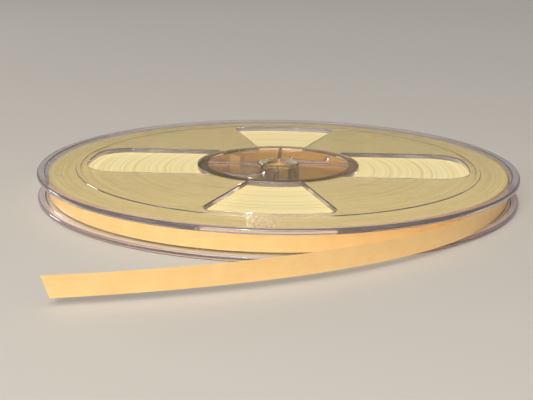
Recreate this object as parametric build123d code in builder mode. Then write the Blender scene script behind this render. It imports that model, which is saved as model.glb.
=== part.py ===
from build123d import *
from math import cos, radians, sin, tan
import os

# Seven-inch clear plastic tape reel, wound with quarter-inch leader tape whose outer end hangs loose.
# Millimetres. +Z is the reel's axis, z = 0 is the surface it lies on, X and Y start at the axis.

os.makedirs("parts", exist_ok=True)

# --- flanges ---------------------------------------------------------------------------------
reel_radius = 89.0
plate_thickness = 1.75
rim_stand = 0.15  # the bead round the rim stands this far above the plate
rim_width = 2.6
rim_round = 0.7
band_width = 15.6  # from the reel's edge in to the low ring that is moulded round the windows
band_drop = 0.15  # the outer band is this much thinner than the plate inside the ring
ridge_width = 1.5
ridge_height = 0.15

# --- windows, the same four in each flange ---------------------------------------------------
pattern_turn = -2.1  # degrees, the way the reel happens to lie
window_ridge_margin = 2.4  # from the window out to the low ring
window_hub_margin = 0.4  # from the barrel out to the window
sector_half_angle = 18.0
sector_corner = 4.0
slot_half_width = 20.0
slot_corner = 12.0
window_inner_corner = 1.0

# --- hub -------------------------------------------------------------------------------------
hub_radius = 30.0
hub_wall = 3.5
boss_radius = 8.0
boss_seat_clearance = 0.05
spindle_radius = 4.1
keyway_count = 3
keyway_width = 1.6
keyway_depth = 2.2
rib_count = 4
rib_width = 1.3
hub_recess = 0.7  # depth of the sunk face inside the hub ring
pad_radius = 7.7
pad_centre_radius = 17.2
pad_angles = (225.0, 45.0)
thread_slot_width = 1.2
thread_slot_angle = 135.0

# --- tape ------------------------------------------------------------------------------------
tape_width = 6.3
tape_thickness = 0.3
tape_side_clearance = 0.25  # on each side, between the tape's edge and a flange
pack_inset = 4.5  # from the reel's edge in to the top of the winding
pack_hub_clearance = 0.05
wrap_clearance = 0.25  # between the winding and the loose outer turn
inner_end_length = 9.0
hinge_gap = 0.3
end_cut_slant = 18.0  # degrees that the cut end leans from upright

# The loose outer turn and free end, as (angle in degrees, distance outside the outer turn).
# The first three points hold it on the winding; the others lead it away from the reel.
tape_route = [
    (9.9, 0.0),
    (2.4, 0.8),
    (-12.6, 0.8),
    (-27.8, 0.8),
    (-42.5, 3.1),
    (-56.1, 6.6),
    (-69.4, 11.2),
    (-81.8, 17.6),
    (-92.9, 25.8),
    (-103.0, 36.3),
    (-111.5, 48.1),
    (-115.7, 55.1),
]
bend_runs = (3, 5, 7, 9)  # the runs of the route that hold a bending line at their middle
straight_share = 0.45  # share of the shorter run that a bend's arc takes up on each side

# --- heights and radii that follow -----------------------------------------------------------
rim_height = plate_thickness + rim_stand
flange_gap = tape_width + 2 * tape_side_clearance
total_height = flange_gap + 2 * rim_height
middle_height = total_height / 2
upper_inner_face = total_height - rim_height
plate_top = upper_inner_face + plate_thickness
band_top = plate_top - band_drop
ridge_top = plate_top + ridge_height
hub_face = plate_top - hub_recess
rim_inner_radius = reel_radius - rim_width
ridge_radius = reel_radius - band_width
ridge_outer_radius = ridge_radius + ridge_width
window_outer_radius = ridge_radius - window_ridge_margin
hub_inner_radius = hub_radius - hub_wall
boss_seat_radius = boss_radius + boss_seat_clearance
window_inner_radius = hub_radius + window_hub_margin
rib_length = hub_inner_radius - boss_radius
rib_middle = boss_radius + rib_length / 2
root_overlap = 0.2  # ribs run this far into what they join
tape_bottom = middle_height - tape_width / 2
pack_radius = reel_radius - pack_inset
wrap_radius = pack_radius + wrap_clearance + tape_thickness / 2


def spindle_hole():
    """The spindle hole with its keyways, drawn on the sketch in use."""
    Circle(spindle_radius)
    keyway_reach = spindle_radius + keyway_depth
    with PolarLocations(keyway_reach / 2, keyway_count, start_angle=90):
        Rectangle(keyway_reach, keyway_width)


def tape_strip(points, bends):
    """Face of a stretch of tape seen on edge: straight runs joined by arcs of the given radii."""
    with BuildSketch() as strip:
        with BuildLine():
            FilletPolyline(*points, radius=bends)
        trace(line_width=tape_thickness)
    return strip.sketch


# --- window outlines, lying along +X ---------------------------------------------------------
with BuildSketch() as slot_window:
    Circle(window_outer_radius)
    Circle(window_inner_radius, mode=Mode.SUBTRACT)
    with Locations((window_outer_radius / 2, 0)):
        Rectangle(window_outer_radius, 2 * slot_half_width, mode=Mode.INTERSECT)
    fillet(slot_window.vertices().group_by(SortBy.DISTANCE)[-1], radius=slot_corner)
    fillet(slot_window.vertices().group_by(SortBy.DISTANCE)[0], radius=window_inner_corner)

with BuildSketch() as wedge_window:
    wedge_half_span = reel_radius * tan(radians(sector_half_angle))
    with BuildLine():
        Polyline((0, 0), (reel_radius, wedge_half_span), (reel_radius, -wedge_half_span), close=True)
    make_face()
    Circle(window_outer_radius, mode=Mode.INTERSECT)
    Circle(window_inner_radius, mode=Mode.SUBTRACT)
    fillet(wedge_window.vertices().group_by(SortBy.DISTANCE)[-1], radius=sector_corner)
    fillet(wedge_window.vertices().group_by(SortBy.DISTANCE)[0], radius=window_inner_corner)

# --- upper flange: one clear moulding, flat inside, with a bead round its edge ----------------
with BuildPart() as upper_flange:
    with BuildSketch(Plane.XZ):
        with BuildLine():
            Polyline(
                (boss_seat_radius, upper_inner_face),
                (reel_radius, upper_inner_face),
                (reel_radius, total_height),
                (rim_inner_radius, total_height),
                (rim_inner_radius, band_top),
                (ridge_outer_radius, band_top),
                (ridge_outer_radius, ridge_top),
                (ridge_radius, ridge_top),
                (ridge_radius, plate_top),
                (hub_inner_radius, plate_top),
                (hub_inner_radius, hub_face),
                (boss_seat_radius, hub_face),
                close=True,
            )
        make_face()
    revolve(axis=Axis.Z)
    round_edges = upper_flange.edges().filter_by(GeomType.CIRCLE)
    fillet(round_edges.group_by(SortBy.RADIUS)[-1], radius=rim_round)

    # Low ribs and two round pads stand on the sunk face inside the hub ring.
    with BuildSketch(Plane.XY.offset(hub_face)):
        with PolarLocations(rib_middle, rib_count, start_angle=pattern_turn):
            Rectangle(rib_length, rib_width)
        for angle in pad_angles:
            with PolarLocations(pad_centre_radius, 1, start_angle=angle):
                Circle(pad_radius)
        Circle(boss_seat_radius, mode=Mode.SUBTRACT)
    extrude(amount=plate_top - hub_face)

    # Wedge windows front and back, straight-sided slots left and right.
    with BuildSketch(Plane.XY.offset(upper_inner_face)):
        with PolarLocations(0, 2, start_angle=pattern_turn):
            add(slot_window.sketch)
        with PolarLocations(0, 2, start_angle=pattern_turn + 90):
            add(wedge_window.sketch)
    extrude(amount=rim_height, mode=Mode.SUBTRACT)
upper_flange.part.label = "upper_flange"

# --- lower flange: the same moulding turned over ----------------------------------------------
with BuildPart() as lower_flange:
    mirror(upper_flange.part, about=Plane.XY.offset(middle_height))
lower_flange.part.label = "lower_flange"

# --- hub: barrel, four webs and keyed boss in one moulding between the flanges ----------------
with BuildPart() as hub:
    with BuildSketch(Plane.XY.offset(rim_height)):
        Circle(hub_radius)
        Circle(hub_inner_radius, mode=Mode.SUBTRACT)
        with PolarLocations(rib_middle, rib_count, start_angle=pattern_turn):
            Rectangle(rib_length + 2 * root_overlap, rib_width)
        with PolarLocations(hub_radius, 1, start_angle=thread_slot_angle):
            Rectangle(3 * hub_wall, thread_slot_width, mode=Mode.SUBTRACT)
    extrude(amount=flange_gap)
    with BuildSketch(Plane.XY.offset(total_height - plate_top)):
        Circle(boss_radius)
    extrude(amount=2 * plate_top - total_height)
    with BuildSketch(Plane.XY):
        spindle_hole()
    extrude(amount=total_height, mode=Mode.SUBTRACT)
hub.part.label = "hub"

# --- tape winding: the turns on the barrel, taken as one ring ---------------------------------
with BuildPart() as tape_pack:
    with BuildSketch(Plane.XY.offset(tape_bottom)):
        Circle(pack_radius)
        Circle(hub_radius + pack_hub_clearance, mode=Mode.SUBTRACT)
    extrude(amount=tape_width)
tape_pack.part.label = "tape_pack"

# --- inner end of the tape, tucked through the slot in the barrel -----------------------------
with BuildPart() as tape_inner_end:
    with BuildSketch(Plane.XY.offset(tape_bottom)):
        with PolarLocations(hub_radius - inner_end_length / 2, 1, start_angle=thread_slot_angle):
            Rectangle(inner_end_length, tape_thickness)
    extrude(amount=tape_width)
tape_inner_end.part.label = "tape_inner_end"

# --- the tape's outer end: its route, the bends' radii, and the lines it bends at -------------
route = []
for angle, stand_off in tape_route:
    reach = wrap_radius + stand_off
    route.append(Vector(reach * cos(radians(angle)), reach * sin(radians(angle))))
runs = [route[i + 1] - route[i] for i in range(len(route) - 1)]
bends = []
for before, after in zip(runs, runs[1:]):
    turn = before.get_angle(after)
    bends.append(straight_share * min(before.length, after.length) / tan(radians(turn / 2)))
print("tape bend radii, mm:", [round(radius) for radius in bends])

# Each stretch goes from one bending line to the next, half the hinge gap short of each.
stretches = []
first_point = route[0]
first_bend = 0
for run in bend_runs:
    along = runs[run].normalized()
    line = (route[run] + route[run + 1]) / 2
    print("bending line, mm:", round(line.X, 3), round(line.Y, 3))
    points = [first_point, *route[first_bend + 1 : run + 1], line - along * hinge_gap / 2]
    stretches.append((points, bends[first_bend:run]))
    first_point = line + along * hinge_gap / 2
    first_bend = run
stretches.append(([first_point, *route[first_bend + 1 :]], bends[first_bend:]))

# --- loose outer turn, which lies on the winding up to the first bending line -----------------
with BuildPart() as tape_outer_turn:
    with BuildSketch(Plane.XY.offset(tape_bottom)):
        add(tape_strip(*stretches[0]))
    extrude(amount=tape_width)
tape_outer_turn.part.label = "tape_outer_turn"
export_step(tape_outer_turn.part, "parts/tape_outer_turn.step")

# --- free end of the tape, four stretches that stand on edge beyond the reel ------------------
for number, (points, stretch_bends) in enumerate(stretches[1:], start=1):
    with BuildPart() as tape_tail:
        with BuildSketch(Plane.XY.offset(tape_bottom)):
            add(tape_strip(points, stretch_bends))
        extrude(amount=tape_width)
        if number == len(bend_runs):
            # The end is cut on a slant, its top corner the longer one.
            along = runs[-1].normalized()
            lean = radians(end_cut_slant)
            cut_point = route[-1] - along * tape_width / 2 * tan(lean) + Vector(0, 0, middle_height)
            cut_normal = along * cos(lean) - Vector(0, 0, sin(lean))
            split(bisect_by=Plane(origin=cut_point, z_dir=cut_normal), keep=Keep.BOTTOM)
    tape_tail.part.label = f"tape_tail_{number}"
    export_step(tape_tail.part, f"parts/tape_tail_{number}.step")

for piece in (upper_flange, lower_flange, hub, tape_pack, tape_inner_end):
    export_step(piece.part, f"parts/{piece.part.label}.step")
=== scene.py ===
import math

import bmesh
import bpy
import numpy as np
from mathutils import Matrix, Quaternion, Vector


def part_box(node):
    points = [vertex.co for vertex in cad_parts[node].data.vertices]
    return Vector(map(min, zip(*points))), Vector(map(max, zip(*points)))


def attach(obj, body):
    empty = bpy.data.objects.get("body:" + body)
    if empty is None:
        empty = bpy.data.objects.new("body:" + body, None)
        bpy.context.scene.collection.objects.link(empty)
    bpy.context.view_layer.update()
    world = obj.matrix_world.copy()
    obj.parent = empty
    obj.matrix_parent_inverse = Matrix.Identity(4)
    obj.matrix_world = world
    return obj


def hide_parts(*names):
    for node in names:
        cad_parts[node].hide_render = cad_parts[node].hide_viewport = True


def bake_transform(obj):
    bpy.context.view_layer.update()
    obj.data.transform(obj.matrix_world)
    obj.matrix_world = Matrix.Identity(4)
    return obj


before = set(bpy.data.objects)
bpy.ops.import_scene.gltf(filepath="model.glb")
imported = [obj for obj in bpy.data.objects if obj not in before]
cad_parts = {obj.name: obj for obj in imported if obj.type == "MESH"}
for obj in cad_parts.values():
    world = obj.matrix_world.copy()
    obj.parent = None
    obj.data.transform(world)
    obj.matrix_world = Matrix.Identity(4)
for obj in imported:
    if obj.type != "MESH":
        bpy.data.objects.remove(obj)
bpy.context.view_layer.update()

MM = 0.001

# --- Camera ----------------------------------------------------------------------------------
# A long lens just above the table, a little in front of the reel and aimed at the near half of it,
# so that the rim reads as a flat ellipse and the loose end crosses the lower left.
camera_place = Vector((0.0, -368.4, 94.1)) * MM
camera_aim = Vector((-3.8, -35.8, 5.3)) * MM
camera_roll = math.radians(0.65)
camera_data = bpy.data.cameras.new("camera")
camera_data.sensor_width = 36.0
camera_data.lens = 67.5
camera_data.clip_start = 0.01
camera = bpy.data.objects.new("camera", camera_data)
camera.location = camera_place
camera.rotation_mode = "QUATERNION"
camera_turn = (camera_aim - camera_place).to_track_quat("-Z", "Y")
camera.rotation_quaternion = camera_turn @ Quaternion((0, 0, 1), camera_roll)
bpy.context.scene.collection.objects.link(camera)
bpy.context.scene.camera = camera

# --- Floor and studio light ------------------------------------------------------------------
# A plain pale table top under a soft overhead light, with a warm lamp over the left shoulder and weaker
# ones at both sides. One small lamp in front and two behind are there for the glints on the plastic.


def put_in_scene(name, mesh):
    piece = bpy.data.objects.new(name, mesh)
    bpy.context.scene.collection.objects.link(piece)
    return piece


def start_material(name):
    """A new material with one Principled shader, returned with its node tree and that shader."""
    material = bpy.data.materials.new(name)
    material.use_nodes = True
    tree = material.node_tree
    shader = tree.nodes["Principled BSDF"]
    return material, tree, shader


floor_half = 6.0
floor_corners = [(x * floor_half, y * floor_half, 0) for x, y in ((-1, -1), (1, -1), (1, 1), (-1, 1))]
floor_mesh = bpy.data.meshes.new("floor")
floor_mesh.from_pydata(floor_corners, [], [(0, 1, 2, 3)])
floor = put_in_scene("floor", floor_mesh)
floor_paint, _, floor_shader = start_material("pale_table")
floor_shader.inputs["Base Color"].default_value = (0.56, 0.54, 0.51, 1)
floor_shader.inputs["Roughness"].default_value = 0.7
floor_mesh.materials.append(floor_paint)

world = bpy.data.worlds.new("studio")
world.use_nodes = True
world.node_tree.nodes["Background"].inputs["Color"].default_value = (1.0, 0.97, 0.93, 1)
world.node_tree.nodes["Background"].inputs["Strength"].default_value = 0.14
bpy.context.scene.world = world
bpy.context.scene.view_settings.view_transform = "Standard"


def soft_light(name, place, aim, size, power, colour, through_plastic=False):
    """A round lamp. Its light reaches what lies behind clear plastic by the plastic's own way for lamps,
    so only the lamps that make glints are also seen by refracted rays."""
    data = bpy.data.lights.new(name, "AREA")
    data.shape = "DISK"
    data.size = size
    data.energy = power
    data.color = colour
    light = bpy.data.objects.new(name, data)
    light.location = place
    light.rotation_mode = "QUATERNION"
    light.rotation_quaternion = (Vector(aim) - Vector(place)).to_track_quat("-Z", "Y")
    light.visible_camera = False
    light.visible_transmission = through_plastic
    bpy.context.scene.collection.objects.link(light)


soft_light("key_light", (-0.25, -0.70, 0.38), (0, -0.03, 0), 0.40, 2.25, (1.0, 0.92, 0.80))
soft_light("front_glint", (-0.16, -0.66, 0.36), (0, -0.03, 0), 0.035, 1.03, (1.0, 0.91, 0.78), True)
soft_light("side_light", (-0.80, -0.40, 0.40), (0, 0, 0), 0.30, 0.9, (1.0, 0.95, 0.88))
soft_light("fill_light", (0.80, -0.60, 0.45), (0, 0, 0), 0.60, 1.0, (1.0, 0.95, 0.88))
soft_light("rear_window", (-0.99, 0.55, 0.20), (0, 0, 0), 0.26, 2.2, (1.0, 0.97, 0.92), True)
soft_light("rear_glint", (-0.042, 1.075, 0.312), (0, 0, 0), 0.010, 0.012, (1.0, 0.93, 0.82), True)
overhead_data = bpy.data.lights.new("overhead", "SUN")
overhead_data.energy = 1.75
overhead_data.angle = math.radians(50.0)
overhead_data.color = (1.0, 0.97, 0.92)
overhead = bpy.data.objects.new("overhead", overhead_data)
overhead.visible_transmission = False
overhead.rotation_euler = (math.radians(22.0), math.radians(-10.0), 0)
bpy.context.scene.collection.objects.link(overhead)

# --- Hub -------------------------------------------------------------------------------------
# One clear polystyrene moulding: a barrel that the tape is wound on, four webs, and a boss with the
# keyed spindle hole. The barrel has a slot for the tape's inner end, and both flanges are cemented to it.
lower_box, upper_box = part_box("lower_flange"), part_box("upper_flange")
hub_box, pack_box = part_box("hub"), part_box("tape_pack")
total_height = upper_box[1].z
middle_height = total_height / 2
lower_inner_face = lower_box[1].z
upper_inner_face = upper_box[0].z
plate_top = hub_box[1].z
reel_radius = upper_box[1].x
hub_radius = hub_box[1].x
hub_wall = 3.5 * MM
hub_inner_radius = hub_radius - hub_wall
boss_radius = 8.0 * MM
spindle_radius = 4.1 * MM
keyway_reach = 6.3 * MM
keyway_width = 1.6 * MM
rib_width = 1.3 * MM
pattern_turn = math.radians(-2.1)
thread_slot_width = 1.2 * MM
thread_slot_turn = math.radians(135.0)
cement_depth = 0.05 * MM


def arc(centre, radius, start, end, count):
    """Points along an arc in the plane, ends included; angles in degrees."""
    angles = np.radians(np.linspace(start, end, count))
    return [(centre[0] + radius * math.cos(a), centre[1] + radius * math.sin(a)) for a in angles]


def circle(radius, count, centre=(0, 0)):
    """Closed outline of a whole circle with the given number of points."""
    return arc(centre, radius, 0, 360 - 360 / count, count)


def without_repeats(outline, gap=1e-7):
    kept = [p for p, q in zip(outline, outline[1:] + outline[:1]) if math.dist(p, q) > gap]
    return np.array(kept)


def grown(outline, distance):
    """A closed outline moved outwards along its own normals."""
    along = np.roll(outline, -1, 0) - np.roll(outline, 1, 0)
    across = np.stack([along[:, 1], -along[:, 0]], 1)
    return outline + across / np.linalg.norm(across, axis=1, keepdims=True) * distance


def turned_about(outline, angle):
    c, s = math.cos(angle), math.sin(angle)
    return np.asarray(outline) @ np.array([[c, s], [-s, c]])


def stacked(outline, levels):
    """Closed solid between the first and last of the (height, growth) levels of an anticlockwise outline."""
    outline = without_repeats([tuple(p) for p in outline])
    count = len(outline)
    points, faces = [], []
    for height, growth in levels:
        points += [(x, y, height) for x, y in grown(outline, growth)]
    for level in range(len(levels) - 1):
        base = level * count
        for i in range(count):
            j = (i + 1) % count
            faces.append((base + i, base + j, base + count + j, base + count + i))
    faces.append(tuple(range(count))[::-1])
    faces.append(tuple(range(base + count, base + 2 * count)))
    return points, faces


def lathed(profile, steps):
    """Ring turned about Z from a closed (radius, height) profile that runs anticlockwise."""
    points, faces = [], []
    count = len(profile)
    for step in range(steps):
        a = 2 * math.pi * step / steps
        points += [(r * math.cos(a), r * math.sin(a), z) for r, z in profile]
    for step in range(steps):
        base, following = step * count, ((step + 1) % steps) * count
        for i in range(count):
            j = (i + 1) % count
            faces.append((base + i, following + i, following + j, base + j))
    return points, faces


def rounded(corners, segments=5):
    """Polygon outline from (x, y, radius) corners, each with a radius turned into an arc."""
    made = []
    for i, (x, y, radius) in enumerate(corners):
        here = Vector((x, y))
        if radius == 0:
            made.append((x, y))
            continue
        back = (Vector(corners[i - 1][:2]) - here).normalized()
        ahead = (Vector(corners[(i + 1) % len(corners)][:2]) - here).normalized()
        half = back.angle(ahead) / 2
        centre = here + (back + ahead).normalized() * radius / math.sin(half)
        first = here + back * radius / math.tan(half) - centre
        last = here + ahead * radius / math.tan(half) - centre
        sweep = first.angle_signed(last)
        for k in range(segments + 1):
            spoke = first.copy()
            spoke.rotate(Matrix.Rotation(-sweep * k / segments, 2))
            made.append(tuple(centre + spoke))
    return made


def combined(name, base, additions=(), cuts=()):
    """One closed solid: base with the additions joined on and the cuts taken out."""
    whole = put_in_scene(name, mesh_of(name, *base))
    for kind, shapes in (("UNION", additions), ("DIFFERENCE", cuts)):
        for shape in shapes:
            tool = put_in_scene(name + "_tool", mesh_of(name + "_tool", *shape))
            step = whole.modifiers.new(kind, "BOOLEAN")
            step.operation = kind
            step.solver = "EXACT"
            step.object = tool
            settle(whole)
            bpy.data.objects.remove(tool)
    return whole


def mesh_of(name, points, faces):
    mesh = bpy.data.meshes.new(name)
    mesh.from_pydata(points, [], faces)
    work = bmesh.new()
    work.from_mesh(mesh)
    bmesh.ops.recalc_face_normals(work, faces=work.faces)
    work.to_mesh(mesh)
    work.free()
    return mesh


def settle(piece):
    """Turns a piece and its modifiers into a plain mesh."""
    graph = bpy.context.evaluated_depsgraph_get()
    graph.update()
    old = piece.data
    piece.data = bpy.data.meshes.new_from_object(piece.evaluated_get(graph), depsgraph=graph)
    piece.modifiers.clear()
    bpy.data.meshes.remove(old)


def polish(piece, crease=35.0):
    """Smooth shading that keeps flat faces flat and edges sharper than the crease angle sharp."""
    work = bmesh.new()
    work.from_mesh(piece.data)
    bmesh.ops.remove_doubles(work, verts=work.verts, dist=1e-7)
    bmesh.ops.dissolve_degenerate(work, edges=work.edges, dist=1e-7)
    bmesh.ops.triangulate(work, faces=[f for f in work.faces if len(f.verts) > 4])
    work.to_mesh(piece.data)
    work.free()
    piece.data.shade_smooth()
    piece.data.set_sharp_from_angle(angle=math.radians(crease))
    weigh = piece.modifiers.new("flat_faces", "WEIGHTED_NORMAL")
    weigh.keep_sharp = True
    weigh.weight = 90
    settle(piece)


def lip(low, high, radius, steps=4, flare=1):
    """Levels of a wall from low to high whose two lips are rounded outwards (flare 1) or inwards (-1)."""
    bends = [math.pi / 2 * k / steps for k in range(steps + 1)]
    lower = [(low + radius * (1 - math.cos(b)), flare * radius * (1 - math.sin(b))) for b in bends]
    upper = [(high - (z - low), growth) for z, growth in reversed(lower)]
    return lower + upper


def keyed_outline():
    """The spindle hole with its three keyways."""
    half = math.asin(keyway_width / 2 / spindle_radius)
    outline = []
    for k in range(3):
        middle = math.pi / 2 + k * 2 * math.pi / 3
        c, s = math.cos(middle), math.sin(middle)
        for y in (-keyway_width / 2, keyway_width / 2):
            outline.append((keyway_reach * c - y * s, keyway_reach * s + y * c))
        start, end = math.degrees(middle + half), math.degrees(middle + 2 * math.pi / 3 - half)
        outline += arc((0, 0), spindle_radius, start, end, 16)
    return outline


def rib_outline(width, inner, outer):
    return [(inner, -width / 2), (outer, -width / 2), (outer, width / 2), (inner, width / 2)]


edge = 0.12 * MM
barrel_low, barrel_high = lower_inner_face - cement_depth, upper_inner_face + cement_depth
barrel = lathed(
    rounded(
        [
            (hub_inner_radius, barrel_low, edge),
            (hub_radius, barrel_low, edge),
            (hub_radius, barrel_high, edge),
            (hub_inner_radius, barrel_high, edge),
        ],
        3,
    ),
    180,
)
web_outline = rib_outline(rib_width, boss_radius - rib_width, hub_inner_radius + rib_width)
web_levels = [(barrel_low + cement_depth / 2, 0), (barrel_high - cement_depth / 2, 0)]
webs = [stacked(turned_about(web_outline, pattern_turn + k * math.pi / 2), web_levels) for k in range(4)]
boss_levels = lip(total_height - plate_top, plate_top, 3 * edge, flare=-1)
boss = stacked(circle(boss_radius, 120), boss_levels)
slot_outline = rib_outline(thread_slot_width, hub_inner_radius - hub_wall, hub_radius + hub_wall)
slot_cut = stacked(turned_about(slot_outline, thread_slot_turn), [(0, 0), (total_height, 0)])
spindle_lips = lip(total_height - plate_top, plate_top, 2 * edge)
cut_overrun = 1 * MM
spindle_cut = stacked(keyed_outline(), [(-cut_overrun, 0), *spindle_lips, (total_height + cut_overrun, 0)])
hub = combined("hub_moulding", barrel, [*webs, boss], [slot_cut, spindle_cut])
polish(hub)


def node(tree, kind, inputs=None, **settings):
    """Adds a node, sets its options, and fills its inputs by name or number with values or links."""
    made = tree.nodes.new(kind)
    for key, value in settings.items():
        setattr(made, key, value)
    for key, value in (inputs or {}).items():
        socket = made.inputs[key]
        if isinstance(value, bpy.types.NodeSocket):
            tree.links.new(value, socket)
        else:
            socket.default_value = value
    return made


def maths(tree, operation, *values):
    """The result of one sum on values or links."""
    return node(tree, "ShaderNodeMath", dict(enumerate(values)), operation=operation).outputs[0]


# Fine handling marks: hair scratches in three directions and broader rubbed patches.
marks = bpy.data.node_groups.new("handling_marks", "ShaderNodeTree")
marks.interface.new_socket("Scale", in_out="INPUT", socket_type="NodeSocketFloat")
marks.interface.new_socket("Rubbed", in_out="INPUT", socket_type="NodeSocketFloat")
marks.interface.new_socket("Roughness", in_out="OUTPUT", socket_type="NodeSocketFloat")
marks.interface.new_socket("Height", in_out="OUTPUT", socket_type="NodeSocketFloat")
marks_in = marks.nodes.new("NodeGroupInput")
marks_out = marks.nodes.new("NodeGroupOutput")
marks_place = node(marks, "ShaderNodeTexCoord").outputs["Object"]
scratches = None
for turn, stretch in ((0.3, 22.0), (1.4, 30.0), (2.3, 26.0)):
    mapped = node(
        marks,
        "ShaderNodeMapping",
        {"Vector": marks_place, "Rotation": (0, 0, turn), "Scale": (60, 60 * stretch, 60)},
    )
    hair = node(
        marks,
        "ShaderNodeTexNoise",
        {"Vector": mapped.outputs[0], "Scale": marks_in.outputs["Scale"], "Detail": 2.0, "Roughness": 0.5},
    )
    line = node(
        marks,
        "ShaderNodeMapRange",
        {"Value": hair.outputs["Fac"], "From Min": 0.62, "From Max": 0.75, "To Min": 0.0, "To Max": 1.0},
    ).outputs[0]
    if scratches is None:
        scratches = line
    else:
        scratches = maths(marks, "MAXIMUM", scratches, line)
cloud = node(marks, "ShaderNodeTexNoise", {"Vector": marks_place, "Scale": 45.0, "Detail": 4.0})
rub = node(marks, "ShaderNodeMapRange", {"Value": cloud.outputs["Fac"], "From Min": 0.45, "From Max": 0.75})
rubbed = maths(marks, "MULTIPLY", rub.outputs[0], marks_in.outputs["Rubbed"])
hazy = maths(marks, "MULTIPLY_ADD", scratches, 0.10, rubbed)
marks.links.new(hazy, marks_out.inputs["Roughness"])
marks.links.new(scratches, marks_out.inputs["Height"])


def plastic(name, tint, lamp_tint, clearness, roughness, rubbed_amount):
    """Polystyrene that lets lamps through.

    At a clearness of 1 it is glassy; below that it is partly milky."""
    material, tree, shader = start_material(name)
    wear = node(tree, "ShaderNodeGroup", {"Scale": 1.0, "Rubbed": rubbed_amount}, node_tree=marks)
    shader.inputs["Base Color"].default_value = (*tint, 1)
    shader.inputs["Transmission Weight"].default_value = clearness
    shader.inputs["IOR"].default_value = 1.55
    scratched = node(
        tree,
        "ShaderNodeBump",
        {"Height": wear.outputs["Height"], "Strength": 0.05, "Distance": 0.00005},
    )
    dulled = maths(tree, "ADD", wear.outputs["Roughness"], roughness)
    tree.links.new(dulled, shader.inputs["Roughness"])
    tree.links.new(scratched.outputs[0], shader.inputs["Normal"])
    lamp_way = node(tree, "ShaderNodeBsdfTransparent", {"Color": (*lamp_tint, 1)})
    ray = node(tree, "ShaderNodeLightPath")
    both = node(
        tree,
        "ShaderNodeMixShader",
        {0: ray.outputs["Is Shadow Ray"], 1: shader.outputs[0], 2: lamp_way.outputs[0]},
    )
    tree.links.new(both.outputs[0], tree.nodes["Material Output"].inputs["Surface"])
    return material


clear_hub = plastic("clear_hub", (0.98, 0.95, 0.88), (0.94, 0.90, 0.80), 1.0, 0.02, 0.03)
# The hub's walls are painted amber and partly milky: a painted reflection of the tape wound round the
# barrel.
hub_walls_painted_tape_reflection = plastic("hub_walls_painted_tape_reflection", (0.93, 0.75, 0.42), (0.92, 0.82, 0.62), 0.86, 0.03, 0.03)
hub.data.materials.append(clear_hub)
hub.data.materials.append(hub_walls_painted_tape_reflection)
face_slack = 0.1 * MM
wall_tilt = 0.6
# Every wall off the boss takes the painted tape reflection; the rest of the hub stays clear.
for face in hub.data.polygons:
    on_boss = math.hypot(*face.center.xy) < boss_radius + face_slack
    face.material_index = 1 if abs(face.normal.z) < wall_tilt and not on_boss else 0
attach(hub, "reel")
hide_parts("hub")

# --- Flanges ---------------------------------------------------------------------------------
# Two like mouldings in clear polystyrene, the lower one turned over. Each is a thin plate with a bead
# round its rim, a low ring, four windows, and low ribs and pads on the sunk face over the hub.
rim_width = 2.6 * MM
rim_round = 0.7 * MM
band_width = 15.6 * MM
band_drop = 0.15 * MM
rim_slope = 0.4 * MM
rim_corner = 0.3 * MM
ridge_width = 1.5 * MM
ridge_height = 0.15 * MM
ridge_slope = 0.15 * MM
ridge_inner_slope = 0.1 * MM
ridge_corner = 0.1 * MM
ridge_foot = 0.08 * MM
hub_recess = 0.7 * MM
recess_slope = 0.1 * MM
recess_corner = 0.15 * MM
boss_seat_radius = boss_radius + 0.05 * MM
window_margin = 2.4 * MM
window_hub_margin = 0.4 * MM
sector_half_angle = 18.0
sector_corner = 4.0 * MM
slot_half_width = 20.0 * MM
slot_corner = 12.0 * MM
inner_corner = 1.0 * MM
pad_radius = 7.7 * MM
pad_centre_radius = 17.2 * MM
pad_centres = [
    (pad_centre_radius * math.cos(turn), pad_centre_radius * math.sin(turn))
    for turn in (math.radians(225.0), math.radians(45.0))
]
pad_dotted_share = 0.8
window_lip = 0.3 * MM
mark_left, mark_right = -7.4 * MM, -1.4 * MM
mark_near, mark_far = -85.4 * MM, -76.0 * MM
dot_sides = 7
dot_radius = 0.36 * MM
dot_top_radius = 0.12 * MM
dot_height = 0.2 * MM
dot_spacing = 1.45 * MM
dot_jitter = 0.28 * MM
row_start_step = 0.382
rim_inner_radius = reel_radius - rim_width
ridge_radius = reel_radius - band_width
window_outer_radius = ridge_radius - window_margin
window_inner_radius = hub_radius + window_hub_margin
hub_face = plate_top - hub_recess
band_top = plate_top - band_drop


def mirrored_outline(half):
    """Whole outline from its upper half, which runs from the near side to the far side."""
    return [(x, -y) for x, y in half] + half[::-1]


def slot_window():
    near = window_inner_radius + inner_corner
    near_y = slot_half_width - inner_corner
    near_x = math.sqrt(near**2 - near_y**2)
    near_turn = math.degrees(math.atan2(near_y, near_x))
    far = window_outer_radius - slot_corner
    far_y = slot_half_width - slot_corner
    far_x = math.sqrt(far**2 - far_y**2)
    far_turn = math.degrees(math.atan2(far_y, far_x))
    half = arc((0, 0), window_inner_radius, 0, near_turn, 24)
    half += arc((near_x, near_y), inner_corner, near_turn + 180, 90, 8)
    half += arc((far_x, far_y), slot_corner, 90, far_turn, 24)
    half += arc((0, 0), window_outer_radius, far_turn, 0, 8)
    return mirrored_outline(half)


def wedge_window():
    near = window_inner_radius + inner_corner
    near_turn = sector_half_angle - math.degrees(math.asin(inner_corner / near))
    far = window_outer_radius - sector_corner
    far_turn = sector_half_angle - math.degrees(math.asin(sector_corner / far))
    near_centre = arc((0, 0), near, near_turn, near_turn, 1)[0]
    far_centre = arc((0, 0), far, far_turn, far_turn, 1)[0]
    half = arc((0, 0), window_inner_radius, 0, near_turn, 16)
    half += arc(near_centre, inner_corner, near_turn + 180, sector_half_angle + 90, 8)
    half += arc(far_centre, sector_corner, sector_half_angle + 90, far_turn, 12)
    half += arc((0, 0), window_outer_radius, far_turn, 0, 16)
    return mirrored_outline(half)


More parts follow.
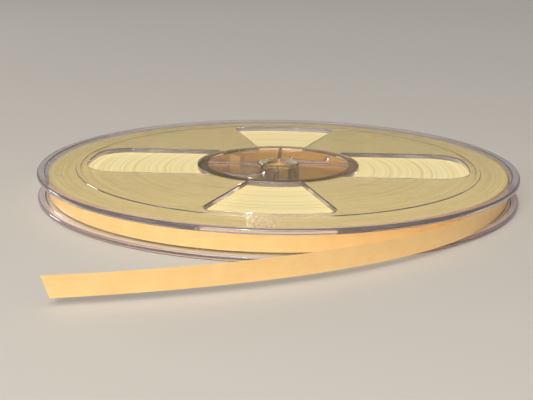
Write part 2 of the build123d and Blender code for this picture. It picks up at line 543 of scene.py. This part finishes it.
clear_flange = plastic("clear_flange", (0.965, 0.94, 0.90), (0.76, 0.73, 0.66), 1.0, 0.02, 0.03)
# The bead and every wall are painted a milky lilac: a painted reflection and sheen in place of the clear
# rim's glints.
flange_walls_painted_reflection = plastic("flange_walls_painted_reflection", (0.84, 0.75, 0.82), (0.88, 0.84, 0.86), 0.84, 0.03, 0.04)
stippled_flange = plastic("stippled_flange", (0.98, 0.96, 0.93), (0.84, 0.81, 0.76), 1.0, 0.03, 0.04)

dot_tree = bpy.data.node_groups.new("stipple_dots", "GeometryNodeTree")
dot_sockets = {}
for name, kind in (
    ("Width", "NodeSocketFloat"),
    ("Depth", "NodeSocketFloat"),
    ("Columns", "NodeSocketInt"),
    ("Rows", "NodeSocketInt"),
    ("Centre", "NodeSocketVector"),
    ("Round Limit", "NodeSocketFloat"),
    ("Dot Radius", "NodeSocketFloat"),
    ("Dot Height", "NodeSocketFloat"),
    ("Jitter", "NodeSocketVector"),
    ("Spacing", "NodeSocketFloat"),
    ("Seed", "NodeSocketInt"),
    ("Finish", "NodeSocketMaterial"),
):
    socket = dot_tree.interface.new_socket(name, in_out="INPUT", socket_type=kind)
    dot_sockets[name] = socket.identifier
dot_tree.interface.new_socket("Geometry", in_out="OUTPUT", socket_type="NodeSocketGeometry")
given = dot_tree.nodes.new("NodeGroupInput").outputs
field = node(
    dot_tree,
    "GeometryNodeMeshGrid",
    {
        "Size X": given["Width"],
        "Size Y": given["Depth"],
        "Vertices X": given["Columns"],
        "Vertices Y": given["Rows"],
    },
)
away = node(
    dot_tree,
    "ShaderNodeVectorMath",
    {0: node(dot_tree, "GeometryNodeInputPosition").outputs[0]},
    operation="LENGTH",
)
inside = maths(dot_tree, "LESS_THAN", away.outputs["Value"], given["Round Limit"])
back = node(dot_tree, "ShaderNodeVectorMath", {0: given["Jitter"], 3: -1.0}, operation="SCALE")
stray = node(
    dot_tree,
    "FunctionNodeRandomValue",
    {0: back.outputs[0], 1: given["Jitter"], "Seed": given["Seed"]},
    data_type="FLOAT_VECTOR",
)
placed = node(
    dot_tree,
    "ShaderNodeVectorMath",
    {0: stray.outputs[0], 1: given["Centre"]},
    operation="ADD",
)
# Each row starts a different part of a space along, so that the dots don't stand in columns.
grid_spot = node(dot_tree, "GeometryNodeInputPosition")
grid_place = node(dot_tree, "ShaderNodeSeparateXYZ", {0: grid_spot.outputs[0]})
row = maths(dot_tree, "DIVIDE", grid_place.outputs["Y"], given["Spacing"])
spaces_along = maths(dot_tree, "MULTIPLY", row, row_start_step)
part_space = maths(dot_tree, "FRACT", spaces_along)
along_row = maths(dot_tree, "MULTIPLY", part_space, given["Spacing"])
row_shift = node(dot_tree, "ShaderNodeCombineXYZ", {"X": along_row})
placed = node(
    dot_tree,
    "ShaderNodeVectorMath",
    {0: placed.outputs[0], 1: row_shift.outputs[0]},
    operation="ADD",
)
scattered = node(
    dot_tree,
    "GeometryNodeSetPosition",
    {"Geometry": field.outputs[0], "Offset": placed.outputs[0]},
)
points = node(dot_tree, "GeometryNodeMeshToPoints", {"Mesh": scattered.outputs[0], "Selection": inside})
dot = node(
    dot_tree,
    "GeometryNodeMeshCone",
    {
        "Vertices": dot_sides,
        "Radius Top": dot_top_radius,
        "Radius Bottom": given["Dot Radius"],
        "Depth": given["Dot Height"],
    },
)
dots = node(
    dot_tree,
    "GeometryNodeInstanceOnPoints",
    {"Points": points.outputs[0], "Instance": dot.outputs[0]},
)


def finish_tree(tree, shape, finish):
    """Ends a node tree with real geometry that carries its material."""
    real = node(tree, "GeometryNodeRealizeInstances", {"Geometry": shape})
    painted = node(tree, "GeometryNodeSetMaterial", {"Geometry": real.outputs[0], "Material": finish})
    tree.links.new(painted.outputs[0], tree.nodes.new("NodeGroupOutput").inputs[0])


finish_tree(dot_tree, dots.outputs[0], given["Finish"])


def dotted_patch(edges, level, seed, round_limit=1.0):
    """Small moulded dots standing on a face at the given level, as (points, faces)."""
    left, near, right, far = edges
    patch = put_in_scene("dots_tool", bpy.data.meshes.new("dots_tool"))
    grow = patch.modifiers.new("dots", "NODES")
    grow.node_group = dot_tree
    settings = {
        "Width": right - left,
        "Depth": far - near,
        "Columns": round((right - left) / dot_spacing) + 1,
        "Rows": round((far - near) / dot_spacing) + 1,
        "Centre": ((left + right) / 2, (near + far) / 2, level - dot_height / 2),
        "Round Limit": round_limit,
        "Dot Radius": dot_radius,
        "Dot Height": 2 * dot_height,
        "Jitter": (dot_jitter, dot_jitter, 0.0),
        "Spacing": dot_spacing,
        "Seed": seed,
        "Finish": clear_flange,
    }
    for name, value in settings.items():
        grow[dot_sockets[name]] = value
    settle(patch)
    made = [tuple(v.co) for v in patch.data.vertices], [tuple(f.vertices) for f in patch.data.polygons]
    bpy.data.objects.remove(patch)
    return made


def upper_flange_solid(name):
    plate = lathed(
        rounded(
            [
                (boss_radius - rib_width, upper_inner_face, 0),
                (reel_radius, upper_inner_face, rim_round),
                (reel_radius, total_height, rim_round),
                (rim_inner_radius, total_height, rim_round / 2),
                (rim_inner_radius - rim_slope, band_top, rim_corner),
                (ridge_radius + ridge_width + ridge_slope, band_top, ridge_corner),
                (ridge_radius + ridge_width, plate_top + ridge_height, ridge_corner),
                (ridge_radius, plate_top + ridge_height, ridge_corner),
                (ridge_radius - ridge_inner_slope, plate_top, ridge_foot),
                (hub_inner_radius, plate_top, recess_corner),
                (hub_inner_radius - recess_slope, hub_face, recess_corner),
                (boss_radius - rib_width, hub_face, 0),
            ]
        ),
        300,
    )
    top_edge = 0.2 * MM
    levels = [
        (hub_face - 2 * top_edge, 0),
        (plate_top - top_edge, 0),
        (plate_top - 0.3 * top_edge, -0.3 * top_edge),
        (plate_top, -top_edge),
    ]
    raised = []
    for k in range(4):
        rib = rib_outline(rib_width, boss_radius - rib_width / 2, hub_inner_radius + top_edge)
        raised.append(stacked(turned_about(rib, pattern_turn + k * math.pi / 2), levels))
    for centre in pad_centres:
        raised.append(stacked(circle(pad_radius, 72, centre), levels))
    raised.append(dotted_patch((mark_left, mark_near, mark_right, mark_far), band_top, seed=5))
    half = pad_dotted_share * pad_radius
    for seed, (x, y) in enumerate(pad_centres, 11):
        raised.append(dotted_patch((x - half, y - half, x + half, y + half), plate_top, seed, half))
    below, above = upper_inner_face - cut_overrun, total_height + cut_overrun
    through = [(below, window_lip), *lip(upper_inner_face, plate_top, window_lip), (above, window_lip)]
    cuts = [stacked(circle(boss_seat_radius, 120), [(below, 0), (above, 0)])]
    for half_turn in (0, math.pi):
        cuts.append(stacked(turned_about(slot_window(), pattern_turn + half_turn), through))
        cuts.append(stacked(turned_about(wedge_window(), pattern_turn + half_turn + math.pi / 2), through))
    return combined(name, plate, raised, cuts)


def flange_finish(face):
    """0 for clear level faces, 1 for the bead and every wall (painted reflection), 2 for the stippled pads.
    """
    x, y, z = face.center
    outer_face = abs(z - middle_height) > hub_face - middle_height + face_slack
    on_hub_pad = any(math.dist((x, y), centre) < pad_radius for centre in pad_centres)
    on_rim_pad = mark_left < x < mark_right + dot_spacing and mark_near < y < mark_far
    if math.hypot(x, y) > rim_inner_radius - face_slack or abs(face.normal.z) < wall_tilt:
        return 1
    if outer_face and (on_hub_pad or on_rim_pad):
        return 2
    return 0


upper = upper_flange_solid("upper_flange_moulding")
lower_mesh = upper.data.copy()
lower_mesh.transform(Matrix.Translation((0, 0, total_height)) @ Matrix.Scale(-1, 4, (0, 0, 1)))
lower_mesh.flip_normals()
lower = put_in_scene("lower_flange_moulding", lower_mesh)
for flange, cad_name in ((upper, "upper_flange"), (lower, "lower_flange")):
    polish(flange)
    for finish in (clear_flange, flange_walls_painted_reflection, stippled_flange):
        flange.data.materials.append(finish)
    for face in flange.data.polygons:
        face.material_index = flange_finish(face)
    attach(flange, "reel")
    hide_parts(cad_name)

# --- Tape winding ----------------------------------------------------------------------------
# Cream leader tape, wound tight on the barrel. Its turns never lie quite level, so each edge of the
# winding is a set of fine rings at slightly different heights.
tape_width = pack_box[1].z - pack_box[0].z
pack_radius = pack_box[1].x
winding_radius = pack_radius + 0.2 * MM
barrel_clearance = 0.05 * MM
turn_stagger = 0.07 * MM
edge_cream = (0.95, 0.82, 0.42)
edge_deep = (0.81, 0.60, 0.245)
edge_light = (1.0, 0.94, 0.60)

winding_tree = bpy.data.node_groups.new("tape_winding", "GeometryNodeTree")
winding_inputs = {}
for name, kind, value in (
    ("Middle Radius", "NodeSocketFloat", (winding_radius + hub_radius + barrel_clearance) / 2),
    ("Depth", "NodeSocketFloat", winding_radius - hub_radius - barrel_clearance),
    ("Width", "NodeSocketFloat", tape_width),
    ("Points", "NodeSocketInt", 372),
    ("Steps", "NodeSocketInt", 240),
    ("Stagger", "NodeSocketFloat", turn_stagger),
    ("Seed", "NodeSocketInt", 7),
    ("Finish", "NodeSocketMaterial", None),
):
    socket = winding_tree.interface.new_socket(name, in_out="INPUT", socket_type=kind)
    winding_inputs[name] = (socket.identifier, value)
winding_tree.interface.new_socket("Geometry", in_out="OUTPUT", socket_type="NodeSocketGeometry")
given = winding_tree.nodes.new("NodeGroupInput").outputs
around = node(
    winding_tree,
    "GeometryNodeCurvePrimitiveCircle",
    {"Resolution": given["Steps"], "Radius": given["Middle Radius"]},
)
section = node(
    winding_tree,
    "GeometryNodeCurvePrimitiveQuadrilateral",
    {"Width": given["Depth"], "Height": given["Width"]},
)
turns = node(
    winding_tree,
    "GeometryNodeResampleCurve",
    {"Curve": section.outputs[0], "Count": given["Points"]},
)
# Only points on the two edges move: twice their height, with a hundredth to spare, is over the width.
section_spot = node(winding_tree, "GeometryNodeInputPosition")
place = node(winding_tree, "ShaderNodeSeparateXYZ", {0: section_spot.outputs[0]})
side = maths(winding_tree, "SIGN", place.outputs["Y"])
reach = maths(winding_tree, "ABSOLUTE", place.outputs["Y"])
doubled = maths(winding_tree, "MULTIPLY", reach, 2.02)
on_edge = maths(winding_tree, "GREATER_THAN", doubled, given["Width"])
ragged = node(
    winding_tree,
    "FunctionNodeRandomValue",
    {2: 0.0, 3: given["Stagger"], "Seed": given["Seed"]},
    data_type="FLOAT",
)
sunk = maths(winding_tree, "MULTIPLY", ragged.outputs[1], on_edge)
signed = maths(winding_tree, "MULTIPLY", sunk, side)
inward = maths(winding_tree, "MULTIPLY", signed, -1.0)
shift = node(winding_tree, "ShaderNodeCombineXYZ", {"Y": inward})
stepped = node(
    winding_tree,
    "GeometryNodeSetPosition",
    {"Geometry": turns.outputs[0], "Offset": shift.outputs[0]},
)
swept = node(
    winding_tree,
    "GeometryNodeCurveToMesh",
    {"Curve": around.outputs[0], "Profile Curve": stepped.outputs[0]},
)
raised = node(winding_tree, "ShaderNodeCombineXYZ", {"Z": middle_height})
lifted = node(
    winding_tree,
    "GeometryNodeSetPosition",
    {"Geometry": swept.outputs[0], "Offset": raised.outputs[0]},
)
finish_tree(winding_tree, lifted.outputs[0], given["Finish"])


def ramp(tree, value, stops):
    """A colour ramp through the given (place, colour) stops."""
    made = node(tree, "ShaderNodeValToRGB", {"Fac": value})
    elements = made.color_ramp.elements
    while len(elements) < len(stops):
        elements.new(0.5)
    for element, (place, colour) in zip(elements, stops):
        element.position = place
        element.color = (*colour, 1.0)
    return made.outputs["Color"]


# Colour of the wound edges: fine lines turn by turn over broader bands of lighter and darker tape.
winding_paint, tree, shader = start_material("wound_tape")
spot = node(tree, "ShaderNodeSeparateXYZ", {0: node(tree, "ShaderNodeTexCoord").outputs["Object"]})
flat = node(tree, "ShaderNodeCombineXYZ", {"X": spot.outputs["X"], "Y": spot.outputs["Y"]})
radius = node(tree, "ShaderNodeVectorMath", {0: flat.outputs[0]}, operation="LENGTH").outputs["Value"]
fine = node(tree, "ShaderNodeTexNoise", {"W": radius, "Scale": 2300.0, "Detail": 4.0}, noise_dimensions="1D")
broad = node(tree, "ShaderNodeTexNoise", {"W": radius, "Scale": 620.0, "Detail": 3.0}, noise_dimensions="1D")
patchy = node(tree, "ShaderNodeTexNoise", {"Vector": flat.outputs[0], "Scale": 22.0, "Detail": 3.0})
mixed = 0.0
for texture, share in ((fine, 0.45), (broad, 0.45), (patchy, 0.10)):
    mixed = maths(tree, "MULTIPLY_ADD", texture.outputs["Fac"], share, mixed)
wound_colour = ramp(tree, mixed, [(0.34, edge_deep), (0.485, edge_cream), (0.64, edge_light)])
tree.links.new(wound_colour, shader.inputs["Base Color"])
wound_rough = node(
    tree,
    "ShaderNodeMapRange",
    {"Value": fine.outputs["Fac"], "From Min": 0.3, "From Max": 0.7, "To Min": 0.32, "To Max": 0.6},
)
tree.links.new(wound_rough.outputs[0], shader.inputs["Roughness"])
groove = node(tree, "ShaderNodeBump", {"Height": fine.outputs["Fac"], "Strength": 0.35, "Distance": 0.0001})
tree.links.new(groove.outputs[0], shader.inputs["Normal"])

# Colour of the flat of the tape, round the winding and on its loose end: cream with faint fibres.
tape_paint, tree, shader = start_material("cream_tape")
spot = node(tree, "ShaderNodeTexCoord").outputs["Object"]
fibre = node(
    tree,
    "ShaderNodeMapping",
    {"Vector": spot, "Scale": (300.0, 300.0, 2400.0)},
)
fibres = node(tree, "ShaderNodeTexNoise", {"Vector": fibre.outputs[0], "Scale": 1.0, "Detail": 3.0})
mottle = node(tree, "ShaderNodeTexNoise", {"Vector": spot, "Scale": 160.0, "Detail": 4.0})
blend = 0.0
for texture, share in ((fibres, 0.4), (mottle, 0.6)):
    blend = maths(tree, "MULTIPLY_ADD", texture.outputs["Fac"], share, blend)
tape_colour = ramp(
    tree,
    blend,
    [(0.30, (0.89, 0.575, 0.235)), (0.5, (0.93, 0.62, 0.27)), (0.70, (0.97, 0.665, 0.305))],
)
tree.links.new(tape_colour, shader.inputs["Base Color"])
wear = node(tree, "ShaderNodeGroup", {"Scale": 1.4, "Rubbed": 0.1}, node_tree=marks)
sheen = maths(tree, "ADD", wear.outputs["Roughness"], 0.34)
tree.links.new(sheen, shader.inputs["Roughness"])
grain = node(tree, "ShaderNodeBump", {"Height": blend, "Strength": 0.12, "Distance": 0.0001})
tree.links.new(grain.outputs[0], shader.inputs["Normal"])

winding = put_in_scene("tape_winding", bpy.data.meshes.new("tape_winding"))
wind = winding.modifiers.new("winding", "NODES")
wind.node_group = winding_tree
winding_inputs["Finish"] = (winding_inputs["Finish"][0], winding_paint)
for identifier, value in winding_inputs.values():
    wind[identifier] = value
settle(winding)
polish(winding, crease=60.0)
winding.data.materials.append(tape_paint)
for face in winding.data.polygons:
    if math.hypot(*face.center.xy) > winding_radius - face_slack and abs(face.normal.z) < 0.5:
        face.material_index = 1
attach(winding, "reel")
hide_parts("tape_pack")

# --- Tape inner end --------------------------------------------------------------------------
# The first few millimetres of tape, tucked through the barrel's slot so that the first turn grips it.
# It takes the same cream finish as the loose end.
inner_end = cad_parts["tape_inner_end"]
inner_end.data.materials.clear()
inner_end.data.materials.append(tape_paint)

# --- Loose outer turn and free end of the tape -----------------------------------------------
# The last turn of the same tape, sprung open: it leaves the winding at the right, crosses in front of
# the reel standing on its edge, and ends in a slanted cut. It curls on at four bending lines.
tape_thickness = 0.12 * MM
tape_cup = 0.10 * MM
cup_middle = 0.67
edge_pinch = 0.6
end_slant = math.radians(18.0)
slant_length = 6 * MM
wrap_radius = pack_radius + 0.4 * MM
tape_route = [
    (9.9, 0.0),
    (2.4, 0.8),
    (-12.6, 0.8),
    (-27.8, 0.8),
    (-42.5, 3.1),
    (-56.1, 6.6),
    (-69.4, 11.2),
    (-81.8, 17.6),
    (-92.9, 25.8),
    (-103.0, 36.3),
    (-111.5, 48.1),
    (-115.7, 55.1),
]
seam_runs = (4, 6, 8)
route = []
for turn, stand_off in tape_route:
    angle = math.radians(turn)
    reach = wrap_radius + stand_off * MM
    route.append(Vector((reach * math.cos(angle), reach * math.sin(angle), middle_height)))
line_data = bpy.data.curves.new("tape_line", "CURVE")
line_data.dimensions = "3D"
line_data.resolution_u = 24
spline = line_data.splines.new("NURBS")
spline.points.add(len(route) - 1)
for control, place in zip(spline.points, route):
    control.co = (*place, 1.0)
spline.order_u = 3
spline.use_endpoint_u = True
line_object = bpy.data.objects.new("tape_line", line_data)
line_mesh = bpy.data.meshes.new_from_object(line_object)
line = [v.co.copy() for v in line_mesh.vertices]
bpy.data.objects.remove(line_object)
bpy.data.meshes.remove(line_mesh)


def nearest_index(place):
    return min(range(len(line)), key=lambda i: (line[i] - place).length)


def tape_strip(name, first, last, ends_free):
    """Ribbon standing on edge along the line's points first to last, with its edges cupped a little."""
    rows = 9
    loop = [(1, k) for k in range(rows)] + [(-1, k) for k in reversed(range(rows))]
    points, faces, across = [], [], []
    for i in range(first, last + 1):
        ahead = (line[min(i + 1, len(line) - 1)] - line[max(i - 1, 0)]).normalized()
        outward = Vector((ahead.y, -ahead.x, 0))
        left_over = (line[-1] - line[i]).length
        slant = max(0.0, 1 - left_over / slant_length) if ends_free else 0.0
        for face_side, k in loop:
            height = (k / (rows - 1) - 0.5) * tape_width
            bow = tape_cup * (1 - (2 * height / tape_width) ** 2)
            pinch = edge_pinch if k in (0, rows - 1) else 1.0
            pull = slant * (height - tape_width / 2) * math.tan(end_slant)
            offset = outward * (bow - tape_cup * cup_middle + face_side * pinch * tape_thickness / 2)
            points.append(line[i] + offset + Vector((0, 0, height)) + ahead * pull)
    around = len(loop)
    for i in range(last - first):
        for j in range(around):
            a, b = i * around + j, i * around + (j + 1) % around
            faces.append((a, b, b + around, a + around))
    faces.append(tuple(range(around))[::-1])
    end = (last - first) * around
    faces.append(tuple(range(end, end + around)))
    mesh = mesh_of(name, points, faces)
    return put_in_scene(name, mesh)


seams = [nearest_index((route[run] + route[run + 1]) / 2) for run in seam_runs]
stops = [0, *seams, len(line) - 1]
tape_names = ("tape_loose_turn", "tape_free_end_1", "tape_free_end_2", "tape_free_end_3")
stood_for = (("tape_outer_turn", "tape_tail_1"), ("tape_tail_2",), ("tape_tail_3",), ("tape_tail_4",))
for k, name in enumerate(tape_names):
    first, last = stops[k], stops[k + 1]
    strip = tape_strip(name, first, last, ends_free=k == 3)
    strip.data.materials.append(tape_paint)
    polish(strip, crease=50.0)
    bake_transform(strip)
    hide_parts(*stood_for[k])
